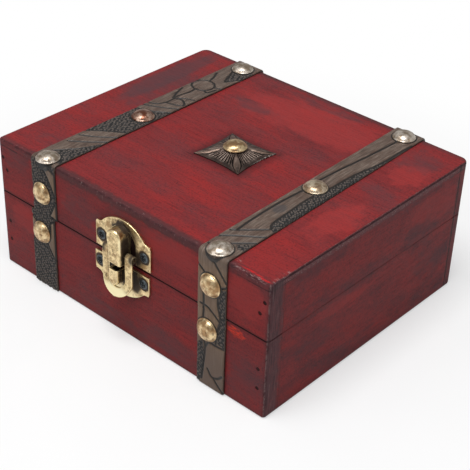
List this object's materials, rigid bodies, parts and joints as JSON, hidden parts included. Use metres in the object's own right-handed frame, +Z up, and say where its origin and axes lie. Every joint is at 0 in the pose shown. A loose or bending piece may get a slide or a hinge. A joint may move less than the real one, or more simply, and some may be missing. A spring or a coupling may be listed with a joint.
{
  "type": "treasure chest box",
  "caption": "Low square-sided wooden chest with a hinged lid, tooled leather straps, domed tacks, a fluted ornament and a hasp latch.",
  "frame": {"origin": "centre of the underside, between the boards' outer faces", "axes": "+X along the front to the right, +Y from the front to the hinges, +Z up"},
  "size_m": [0.16, 0.145, 0.0724],
  "materials": {
    "stained_wood": "red stain with dark antiquing, satin",
    "panel_wood": "thin dark stain, matt",
    "tooled_leather": "embossed, dry",
    "antique_tacks": "mottled antique",
    "antique_bronze": "dark antique",
    "latch_brass": "pale antique with a dark patina in recesses",
    "hinge_brass": "antique",
    "dark_screws": "dark",
    "nail_steel": "dull"
  },
  "bodies": {
    "base": {"base_front_board": "stained_wood", "base_back_board": "stained_wood", "base_left_board": "stained_wood", "base_right_board": "stained_wood", "base_bottom_panel": "panel_wood", "base_front_left_strap": "tooled_leather", "base_front_right_strap": "tooled_leather", "base_rear_left_strap": "tooled_leather", "base_rear_right_strap": "tooled_leather", "base_front_tacks": "antique_tacks", "base_nails": "nail_steel", "latch_lower_plate": "latch_brass", "latch_lower_screws": "dark_screws", "hinge_left_base_leaf": "hinge_brass", "hinge_right_base_leaf": "hinge_brass", "hinge_left_pin": "hinge_brass", "hinge_right_pin": "hinge_brass", "hinge_base_screws": "dark_screws"},
    "lid": {"lid_front_board": "stained_wood", "lid_back_board": "stained_wood", "lid_left_board": "stained_wood", "lid_right_board": "stained_wood", "lid_top_panel": "stained_wood", "lid_left_strap": "tooled_leather", "lid_right_strap": "tooled_leather", "lid_edge_tacks": "antique_tacks", "lid_middle_tacks": "antique_tacks", "lid_front_tacks": "antique_tacks", "lid_nails": "nail_steel", "top_ornament_plate": "antique_bronze", "ornament_tack": "antique_tacks", "latch_upper_plate": "latch_brass", "latch_upper_screws": "dark_screws", "latch_pin": "latch_brass", "hinge_left_lid_leaf": "hinge_brass", "hinge_right_lid_leaf": "hinge_brass", "hinge_lid_screws": "dark_screws"},
    "hasp": {"latch_hasp": "latch_brass"}
  },
  "joints": [
    {"name": "lid_hinge", "type": "hinge", "parent": "base", "child": "lid", "pos_m": [0, 0.06915, 0.03907], "axis": [-1, 0, 0], "range_deg": [0, 180]},
    {"name": "hasp_pivot", "type": "hinge", "parent": "lid", "child": "hasp", "pos_m": [0.0006, -0.0699, 0.0444], "axis": [-1, 0, 0], "range_deg": [0, 165]}
  ]
}
